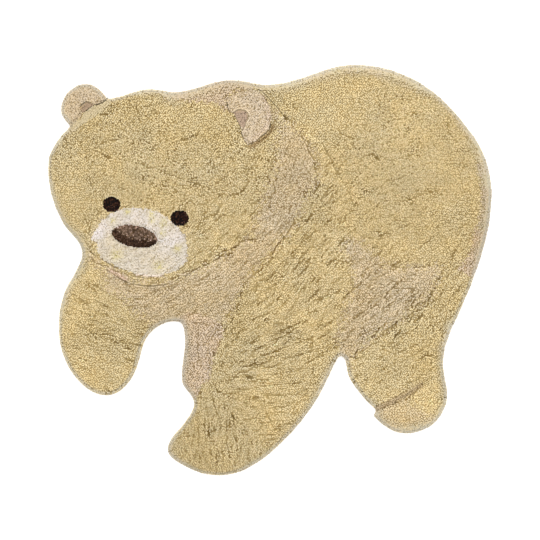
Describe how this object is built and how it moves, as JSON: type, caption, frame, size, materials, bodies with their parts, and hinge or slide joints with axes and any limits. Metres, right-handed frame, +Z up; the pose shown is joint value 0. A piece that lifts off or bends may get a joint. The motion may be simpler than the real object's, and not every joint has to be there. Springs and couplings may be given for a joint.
{
  "type": "bear shaped kids rug",
  "caption": "Tufted cotton floor rug for a child's room, cut to the outline of a walking bear, with carved lines in its short pile.",
  "frame": {"origin": "on the floor, under the middle of the rug's bounding box", "axes": "+X towards the bear's rump along the rug's length, +Y towards its back, +Z up out of the pile"},
  "size_m": [1.2, 1.111, 0.0178],
  "materials": {
    "golden_pile": "matt cut cotton pile, golden beige",
    "rose_pile": "matt cut cotton pile, pinkish beige",
    "pale_pile": "matt cut cotton pile, pale cream and white",
    "brown_pile": "matt cut cotton pile, dark brown",
    "canvas": "plain woven cotton canvas"
  },
  "bodies": {
    "root": {"rug": "golden_pile"}
  },
  "joints": []
}
